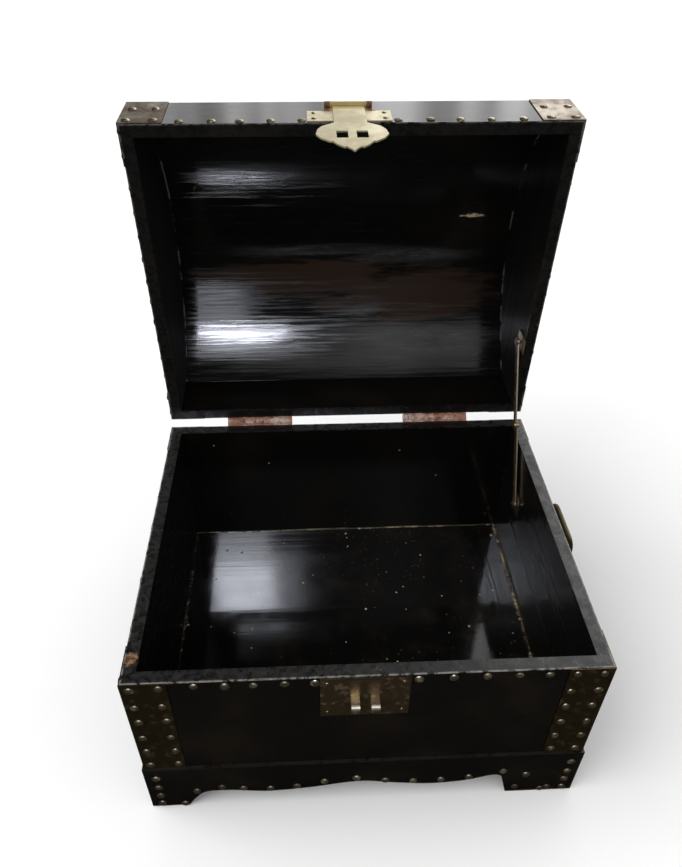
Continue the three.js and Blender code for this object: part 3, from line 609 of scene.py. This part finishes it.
def dress_metal():
    antique = old_metal("antique_brass", False, *ANTIQUE)
    dress(starting_with("base_corner_"), antique, PLATE_EDGE)
    dress(starting_with("handle_"), antique, PLATE_EDGE, True)
    dress(["hasp_staple_plate"], old_metal("staple_plate_brass", False, *STAPLE_PLATE), PLATE_EDGE)
    dress(starting_with("lid_corner_"), old_metal("lid_plate_brass", True, *LID_PLATE), PLATE_EDGE)
    dress(["hasp_lid_plate", "hasp_flap", "hasp_pin"], hasp_brass(), PLATE_EDGE, True)
    staple = old_metal("staple_brass", False, *STAPLE)
    dress(["hasp_staple_left", "hasp_staple_right"], staple, 0.4 * MM, True)
    base_copper = hinge_copper("copper_hinge", False)
    lid_copper = hinge_copper("copper_hinge_lid", True)
    for name in starting_with("hinge_"):
        dress([name], lid_copper if name.endswith("_lid_leaf") else base_copper, 0.2 * MM, True)
    dress(starting_with("stay_"), old_metal("stay_brass", False, *STAY), PLATE_EDGE, True)
    brass = turned_metal("movement_brass", *MOVEMENT_BRASS)
    steel = turned_metal("movement_steel", *MOVEMENT_STEEL)
    dress(["movement_bedplate", "spring_barrel", "winding_key", "pinned_cylinder"], brass, 0.2 * MM, True)
    dress(["winding_arbor", "comb", "governor_fan"], steel, 0.08 * MM, True)


# ---------------------------------------------------------------- tacks and screws

TACK_R = 3.3 * MM
TACK_RISE = 1.5 * MM
# A tack's outline from its rolled-under rim to its crown, as shares of its radius and of its rise.
TACK_OUTLINE = [(1.0, 0.0), (1.02, 0.16), (0.93, 0.42), (0.74, 0.72), (0.45, 0.93), (0.17, 1.0)]
TACK_SIDES = 18
# Radius and rise of the small pins.
PLATE_PIN_SIZE = (1.7 * MM, 0.9 * MM)
HANDLE_PIN_SIZE = (1.9 * MM, 1.0 * MM)
SCREW_R = 2.6 * MM
SCREW_RISE = 0.1 * MM
SCREW_STEPS = 8
shake = random.Random(7)


def facing(point, normal):
    """A matrix that stands a tack, drawn round +Z, on a surface point."""
    turn = Vector((0, 0, 1)).rotation_difference(Vector(normal)).to_matrix().to_4x4()
    return Matrix.Translation(Vector(point)) @ turn


def add_tack(mesh, place, radius, rise):
    """A domed tack head, slightly uneven and leaning."""
    squash = 1 + shake.uniform(-0.06, 0.06)
    lean = Matrix.Rotation(math.radians(shake.uniform(-5, 5)), 4, "X")
    rings = []
    for out, up in TACK_OUTLINE:
        ring = []
        for i in range(TACK_SIDES):
            angle = math.tau * i / TACK_SIDES
            x = radius * out * math.cos(angle) * squash
            y = radius * out * math.sin(angle) / squash
            ring.append(mesh.verts.new(place @ lean @ Vector((x, y, rise * up))))
        rings.append(ring)
    for lower, upper in zip(rings, rings[1:]):
        for i in range(TACK_SIDES):
            j = (i + 1) % TACK_SIDES
            mesh.faces.new((lower[i], lower[j], upper[j], upper[i]))
    mesh.faces.new(rings[-1])
    mesh.faces.new(list(reversed(rings[0])))


def add_screw(mesh, place, radius, rise):
    """A sunk, slotted screw head: a very low crown in two halves beside a slot."""
    slot = radius * 0.16
    start = math.asin(slot / radius)
    for side in (-1, 1):
        outline = []
        for i in range(SCREW_STEPS + 1):
            angle = start + (math.pi - 2 * start) * i / SCREW_STEPS
            outline.append(Vector((radius * math.cos(angle), side * radius * math.sin(angle), 0)))
        if side < 0:
            outline.reverse()
        crown = [Vector((p.x * 0.9, p.y * 0.9 + side * slot * 0.1, rise)) for p in outline]
        base = [mesh.verts.new(place @ p) for p in outline]
        top = [mesh.verts.new(place @ p) for p in crown]
        mesh.faces.new(top)
        mesh.faces.new(list(reversed(base)))
        for i in range(len(base)):
            j = (i + 1) % len(base)
            mesh.faces.new((base[i], base[j], top[j], top[i]))


def piece_from(name, build, material, body):
    """A new visible piece on a body, with the mesh that build draws into it."""
    mesh = bmesh.new()
    build(mesh)
    bmesh.ops.recalc_face_normals(mesh, faces=mesh.faces)
    data = bpy.data.meshes.new(name)
    mesh.to_mesh(data)
    mesh.free()
    data.shade_smooth()
    data.set_sharp_from_angle(angle=math.radians(50))
    data.materials.append(material)
    piece = bpy.data.objects.new(name, data)
    bpy.context.scene.collection.objects.link(piece)
    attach(piece, body)


def jitter(amount=0.8 * MM):
    return shake.uniform(-amount, amount)


def slight():
    return jitter(0.5 * MM)


def spread(start, end, gap):
    """Even places from start to end, about gap apart."""
    count = max(1, round(abs(end - start) / gap))
    return [start + (end - start) * i / count for i in range(count + 1)]


TACK_GAP = 21.5 * MM
PLATE_SKIN = 0.9 * MM
HANDLE_SKIN = 1.25 * MM
HASP_SKIN = 1.05 * MM
COLUMN_OUT = HALF_W - 6 * MM
COLUMN_IN = HALF_W - 26.5 * MM
LID_COLUMN_IN = HALF_W - 25 * MM
# How much less deep the box is than wide, on each side of its middle.
SIDE_INSET = HALF_W - HALF_D
PLATE_ROWS = [RIM_Z - drop * MM for drop in (6, 28, 48, 70, 90, 110)]
TOP_ROW_Z = RIM_Z - 6 * MM
LID_ROW_Z = LID_RIM_Z + 5 * MM
LID_PLATE_ROWS = (LID_ROW_Z, LID_RIM_Z + 29 * MM)
# Rows whose tacks stand where the photo shows them, and rows for the faces that it doesn't show.
FRONT_ROW = [x * MM for x in (-124, -103, -82, -60, -39, 35.5, 60, 83.5, 107, 129)]
LID_FRONT_ROW = [x * MM for x in (-130, -106, -85, -62, -39, 33.5, 58, 81, 104, 129)]
FRONT_APRON_ROW = [(x * MM, z * MM) for x, z in (
    (-150, 3.5), (150, 3.5), (-138, 24), (-117, 29), (-100, 25), (-78, 23), (-56, 25), (-33, 31), (-7, 34.5),
    (17, 29), (40, 26), (63, 26), (87, 28), (114, 36), (135, 28), (128, 9), (156, 7))]
REAR_ROW = spread(-125 * MM, 125 * MM, TACK_GAP)
SIDE_ROW = spread(93 * MM, 48 * MM, TACK_GAP)
LID_SIDE_ROW = spread(93 * MM, 10 * MM, TACK_GAP)
PLINTH_COLUMN = [47 * MM, 32 * MM, 19 * MM, 5 * MM]


def face_column(face, x, heights):
    """Tacks one above another on a corner plate, on the front (-1) or the rear (1)."""
    return [((x + jitter(), face * (HALF_D + PLATE_SKIN), z + jitter()), (0, face, 0)) for z in heights]


def side_column(side, y, heights):
    """Tacks one above another on a corner plate, on the left (-1) or the right (1)."""
    return [((side * (HALF_W + PLATE_SKIN), y + jitter(), z + jitter()), (side, 0, 0)) for z in heights]


def face_row(face, row, z):
    return [((x + slight(), face * HALF_D, z + jitter()), (0, face, 0)) for x in row]


def side_row(side, end, row, z):
    return [((side * HALF_W, end * y + jitter(), z + jitter()), (side, 0, 0)) for y in row]


def base_tack_places():
    """Tacks of the box in chest coordinates: plate columns, and a row under the rim on each side."""
    places = []
    for face in (-1, 1):
        for side in (-1, 1):
            for column in (COLUMN_OUT, COLUMN_IN):
                places += face_column(face, side * column, PLATE_ROWS)
    for face, row in ((-1, FRONT_ROW), (1, REAR_ROW)):
        places += face_row(face, row, TOP_ROW_Z)
    for side in (-1, 1):
        for end in (-1, 1):
            for column in (COLUMN_OUT, COLUMN_IN):
                places += side_column(side, end * (column - SIDE_INSET), PLATE_ROWS)
            places += side_row(side, end, SIDE_ROW, TOP_ROW_Z)
    return places


def lower_edge(node, across, face_value, face_axis):
    """The apron's lower outline on a plinth board's outer face, as a function of the place along it."""
    points = []
    for vertex in frame["nodes"][node].data.vertices:
        point = TO_CHEST @ vertex.co
        if abs(point[face_axis] - face_value) < 0.05 * MM and point.z < PLINTH_Z - 20 * MM:
            points.append((point[across], point.z))
    points.sort()

    def height(place):
        before = max((p for p in points if p[0] <= place), default=points[0])
        after = min((p for p in points if p[0] >= place), default=points[-1])
        share = 0 if after[0] == before[0] else (place - before[0]) / (after[0] - before[0])
        return before[1] + share * (after[1] - before[1])

    return height


def on_plinth(axis, sign, face, z, along):
    """Place and normal of a tack on a plinth board that runs along an axis, 0 for x and 1 for y."""
    spot = [0, 0, z]
    spot[axis] = along
    spot[1 - axis] = sign * face
    normal = [0, 0, 0]
    normal[1 - axis] = sign
    return tuple(spot), tuple(normal)


def plinth_tack_places():
    """Tacks that follow the aprons' lower edges and climb the corners of the plinth."""
    places = []
    face_y = HALF_D + OVERHANG
    face_x = HALF_W + OVERHANG
    for node, axis, sign, face, reach in (
        ("plinth_front", 0, -1, face_y, 138 * MM), ("plinth_rear", 0, 1, face_y, 138 * MM),
        ("plinth_left", 1, -1, face_x, 104 * MM), ("plinth_right", 1, 1, face_x, 104 * MM),
    ):
        edge = lower_edge(node, axis, sign * face, 1 - axis)
        row = [(along, min(edge(along) + 5.5 * MM, 35 * MM)) for along in spread(-reach, reach, 22 * MM)]
        if node == "plinth_front":
            row = FRONT_APRON_ROW
        for along, z in row:
            places.append(on_plinth(axis, sign, face, z + slight(), along + slight()))
        corner = (face_x if axis == 0 else face_y) - 9 * MM
        for end in (-1, 1):
            for z in PLINTH_COLUMN:
                places.append(on_plinth(axis, sign, face, z + slight(), end * corner + slight()))
            if node != "plinth_front":
                places.append(on_plinth(axis, sign, face, 4.5 * MM, end * (corner - 17 * MM)))
    return places


def lid_tack_places():
    """Tacks of the lid: a row beside the rim, and columns of two on the corner plates."""
    places = []
    for face, row in ((-1, LID_FRONT_ROW), (1, REAR_ROW)):
        places += face_row(face, row, LID_ROW_Z)
        for side in (-1, 1):
            for column in (COLUMN_OUT, LID_COLUMN_IN):
                places += face_column(face, side * column, LID_PLATE_ROWS)
    for side in (-1, 1):
        for end in (-1, 1):
            places += side_row(side, end, LID_SIDE_ROW, LID_ROW_Z)
            for column in (COLUMN_OUT, LID_COLUMN_IN):
                places += side_column(side, end * (column - SIDE_INSET), LID_PLATE_ROWS)
    return places


KNUCKLE_REACH = 12 * MM
KNUCKLE_CLEARANCE = 4 * MM


def clear_of_hinges(place):
    """False for a rear tack that a hinge knuckle would cover."""
    (x, _, z), normal = place
    behind = normal[1] > 0.5 and abs(z - RIM_Z) < KNUCKLE_REACH
    nearest = low("hinge_right_base_leaf").x - KNUCKLE_CLEARANCE
    furthest = high("hinge_right_base_leaf").x + KNUCKLE_CLEARANCE
    return not (behind and nearest < abs(x) < furthest)


def make_tacks():
    brass = old_metal("tack_brass", False, *TACK)
    groups = (
        ("box_tacks", "base", base_tack_places()),
        ("plinth_tacks", "base", plinth_tack_places()),
        ("lid_tacks", "lid", lid_tack_places()),
    )
    for name, body, places in groups:
        def build(mesh, body=body, places=places):
            for place in filter(clear_of_hinges, places):
                spot, normal = place
                size = shake.uniform(0.92, 1.06)
                add_tack(mesh, FROM_CHEST[body] @ facing(spot, normal), TACK_R * size, TACK_RISE * size)

        piece_from(name, build, brass, body)


def leaf_face(node, matrix, side):
    """Height of a hinge leaf's open face in chest coordinates, away from its knuckles."""
    heights = []
    for vertex in frame["nodes"][node].data.vertices:
        point = matrix @ vertex.co
        if point.y < PIN.y - ORIGIN.y - 6 * MM:
            heights.append(point.z)
    return max(heights) if side < 0 else min(heights)


def make_hinge_screws():
    """Three screws in each hinge leaf, on a line in front of the pin."""
    half = (high("hinge_left_base_leaf").x - low("hinge_left_base_leaf").x) / 2
    centre = abs(low("hinge_left_base_leaf").x + half)
    line_y = PIN.y - ORIGIN.y - 9.6 * MM
    for body, matrix, side in (("base", TO_CHEST, -1), ("lid", LID_TO_CHEST, 1)):
        face_z = leaf_face(f"hinge_left_{body}_leaf", matrix, side)
        copper = frame["nodes"][f"hinge_left_{body}_leaf"].data.materials[0]

        def build(mesh, body=body, side=side, face_z=face_z):
            for hinge in (-1, 1):
                for step in (-1, 0, 1):
                    spot = (hinge * centre + step * half * 0.66, line_y, face_z)
                    add_screw(mesh, FROM_CHEST[body] @ facing(spot, (0, 0, -side)), SCREW_R, SCREW_RISE)

        piece_from(f"hinge_screws_{body}", build, copper, body)


def make_plate_pins():
    """Small pins at the corners of the staple plate, the hasp plate and the handle plates."""
    pin_brass = old_metal("pin_brass", False, *PLATE_PIN)
    plate_low, plate_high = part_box("hasp_staple_plate")

    def build_base(mesh):
        for x in (plate_low.x + 5 * MM, plate_high.x - 5 * MM):
            for z in (plate_low.z + 5 * MM, plate_high.z - 4 * MM):
                add_tack(mesh, facing((x, plate_low.y, z), (0, -1, 0)), *PLATE_PIN_SIZE)
        for side in ("left", "right"):
            corner_low, corner_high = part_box(f"handle_{side}_plate")
            sign = -1 if side == "left" else 1
            for y in (corner_low.y + 4.5 * MM, corner_high.y - 4.5 * MM):
                for z in (corner_low.z + 4.5 * MM, corner_high.z - 4.5 * MM):
                    spot = (sign * (HALF_W + HANDLE_SKIN), y, z)
                    add_tack(mesh, facing(spot, (sign, 0, 0)), *HANDLE_PIN_SIZE)

    piece_from("plate_pins", build_base, pin_brass, "base")

    def build_lid(mesh):
        hasp_low, hasp_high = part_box("hasp_lid_plate")
        for x in (hasp_low.x + 5 * MM, hasp_high.x - 5 * MM):
            for z in (LID_RIM_Z + 6 * MM, LID_RIM_Z + 18 * MM):
                spot = (x, -(HALF_D + HASP_SKIN), z)
                add_tack(mesh, FROM_CHEST["lid"] @ facing(spot, (0, -1, 0)), *PLATE_PIN_SIZE)

    piece_from("hasp_pins", build_lid, pin_brass, "lid")


# ---------------------------------------------------------------- surroundings

ROOM_DARK = 0.04
ROOM_WHITE = 0.78
ROOM_SEEN = 1.1
# Paler places of the reflected room: direction, cosines where they start and are full, and how much they add.
ROOM_GLOWS = [((0.12, -0.76, 0.64), 0.95, 0.98, 0.55), ((0.15, 0.92, 0.36), 0.9, 1.0, 1.6),
              ((0.5, 0.55, 0.66), 0.9, 1.0, 2.6)]


def glow(tree, direction, towards, start, end, amount):
    """Light from one side of the room: amount straight towards it, none beyond start."""
    dot = tree.nodes.new("ShaderNodeVectorMath")
    dot.operation = "DOT_PRODUCT"
    dot.inputs[1].default_value = Vector(towards).normalized()
    tree.put(direction, dot.inputs[0])
    return tree.ease(dot.outputs["Value"], start, end, 0.0, amount)


def room_bands(tree, direction, amount):
    """Upright paler and darker bands in the room's reflection, as furniture and curtains make."""
    split = tree.nodes.new("ShaderNodeSeparateXYZ")
    tree.put(direction, split.inputs[0])
    flat = tree.nodes.new("ShaderNodeCombineXYZ")
    tree.put(split.outputs["X"], flat.inputs["X"])
    bands = tree.noise(14.0, detail=2.0, rough=0.5, vector=flat.outputs["Vector"])
    return tree.times(amount, tree.ease(bands, 0.4, 0.6, 0.5, 1.35))


def world_light():
    """A white room for soft light. In reflections it is dark, and paler in front, behind and to the right."""
    world = bpy.data.worlds.new("room")
    bpy.context.scene.world = world
    world.use_nodes = True
    tree = Tree(world.node_tree)
    ray = tree.nodes.new("ShaderNodeLightPath")
    direction = tree.nodes.new("ShaderNodeTexCoord").outputs["Generated"]
    reflected = ROOM_DARK
    for towards, start, end, amount in ROOM_GLOWS:
        reflected = tree.plus(glow(tree, direction, towards, start, end, amount), reflected)
    reflected = room_bands(tree, direction, reflected)
    plain = tree.blend(ray.outputs["Is Camera Ray"], ROOM_WHITE, ROOM_SEEN)
    background = tree.nodes["Background"]
    background.inputs["Color"].default_value = (1.0, 1.0, 1.0, 1.0)
    tree.put(tree.blend(ray.outputs["Is Glossy Ray"], plain, reflected), background.inputs["Strength"])


WINDOW_COLOUR = (0.86, 0.89, 1.0)


def window_light(name, centre, width, height, radiance):
    """A flat bluish lamp that faces +Y and is seen in reflections only."""
    data = bpy.data.lights.new(name, "AREA")
    data.shape = "RECTANGLE"
    data.size = width
    data.size_y = height
    data.energy = radiance * math.pi * width * height
    data.color = WINDOW_COLOUR
    lamp = bpy.data.objects.new(name, data)
    lamp.location = centre
    lamp.rotation_euler = Vector((0, 1, 0)).to_track_quat("-Z", "Y").to_euler()
    lamp.visible_camera = False
    lamp.visible_diffuse = False
    bpy.context.scene.collection.objects.link(lamp)
    return lamp


KEY_STRENGTH = 2.1
KEY_SPREAD = math.radians(60)
KEY_DIRECTION = (1.5, 0.2, -1.5)
WINDOW_Y = -1.2
GLINTS = ["box_tacks", "plinth_tacks", "lid_tacks", "plate_pins", "hasp_staple_left", "hasp_staple_right",
          "hasp_staple_plate", "stay_upper_link", "stay_lower_link"]
# Lamp name, its left and right edges, its bottom and top edges, its radiance and the pieces that it lights.
WINDOW_PANES = [
    ("window_low", (-0.38, -0.22), (0.3, 0.95), 3, STAVES),
    ("window_middle", (-0.38, -0.13), (0.95, 1.12), 44, STAVES),
    ("window_rail", (-0.38, -0.17), (1.12, 1.5), 6, STAVES),
    ("window_sash", (-0.42, -0.2), (1.36, 1.49), 45, ["base_rear_board"]),
    ("window_high", (-0.42, -0.19), (1.52, 1.96), 130, ["base_rear_board"]),
    ("window_edge", (-0.18, -0.08), (1.5, 1.85), 22, ["base_rear_board"]),
    ("window_side", (-0.34, -0.2), (1.6, 1.85), 26, ["base_right_board"]),
    ("window_top", (-0.5, -0.24), (2.05, 2.7), 420, ["lid_rear_board"]),
    ("window_glint", (-0.7, 0.2), (0.9, 1.5), 7, GLINTS),
]


def window_lamps():
    """A tall window in front on the left, in panes that each show up in the gloss of a few pieces only."""
    for name, (left, right), (bottom, top), radiance, lit in WINDOW_PANES:
        centre = ((left + right) / 2, WINDOW_Y, (bottom + top) / 2)
        lamp = window_light(name, centre, right - left, top - bottom, radiance)
        receivers = bpy.data.collections.new(name + "_lights")
        for piece in lit:
            receivers.objects.link(frame["nodes"].get(piece) or bpy.data.objects[piece])
        lamp.light_linking.receiver_collection = receivers


def soft_key():
    """Broad light from above left that gives the soft shadow on the right. It is not seen in reflections."""
    data = bpy.data.lights.new("soft_key", "SUN")
    data.energy = KEY_STRENGTH
    data.angle = KEY_SPREAD
    lamp = bpy.data.objects.new("soft_key", data)
    lamp.rotation_euler = Vector(KEY_DIRECTION).to_track_quat("-Z", "Y").to_euler()
    lamp.visible_glossy = False
    bpy.context.scene.collection.objects.link(lamp)


FLOOR_REACH = 30.0
FLOOR_PALE = (0.9, 0.9, 0.9)
FLOOR_REFLECTED = (0.014, 0.012, 0.008)


def pale_floor():
    """A wide pale floor. In reflections it is dark, like the dim room round it."""
    mesh = bpy.data.meshes.new("studio_floor")
    corners = [(x * FLOOR_REACH, y * FLOOR_REACH, 0) for x, y in ((-1, -1), (1, -1), (1, 1), (-1, 1))]
    mesh.from_pydata(corners, [], [(0, 1, 2, 3)])
    floor = bpy.data.objects.new("studio_floor", mesh)
    bpy.context.scene.collection.objects.link(floor)
    material = bpy.data.materials.new("studio_floor")
    material.use_nodes = True
    tree = Tree(material.node_tree)
    shader = tree.nodes["Principled BSDF"]
    shader.inputs["Roughness"].default_value = 0.9
    shader.inputs["Specular IOR Level"].default_value = 0.1
    ray = tree.nodes.new("ShaderNodeLightPath")
    tint = tree.mix(ray.outputs["Is Glossy Ray"], FLOOR_PALE, FLOOR_REFLECTED)
    tree.put(tint, shader.inputs["Base Color"])
    mesh.materials.append(material)


# The photo's camera, fitted to the chest's edges: eye in chest coordinates, turn in degrees, lens and shift.
EYE = (-0.0383, -0.4373, 0.6348)
EYE_TURN = (51.057, -0.330, -2.566)
SENSOR = 36
LENS = 30.59
SHIFT = (0.003, -0.0007)


def camera():
    """Stands in front of the chest, a little left of its middle, and looks down into it."""
    data = bpy.data.cameras.new("camera")
    data.sensor_width = SENSOR
    data.lens = LENS
    data.shift_x, data.shift_y = SHIFT
    data.clip_start = 0.02
    eye = bpy.data.objects.new("camera", data)
    eye.location = ORIGIN + Vector(EYE)
    eye.rotation_euler = [math.radians(angle) for angle in EYE_TURN]
    bpy.context.scene.collection.objects.link(eye)
    bpy.context.scene.camera = eye


camera()
world_light()
pale_floor()
dress_wood()
dress_metal()
make_tacks()
make_hinge_screws()
make_plate_pins()
window_lamps()
soft_key()
bpy.context.scene.view_settings.view_transform = "Standard"
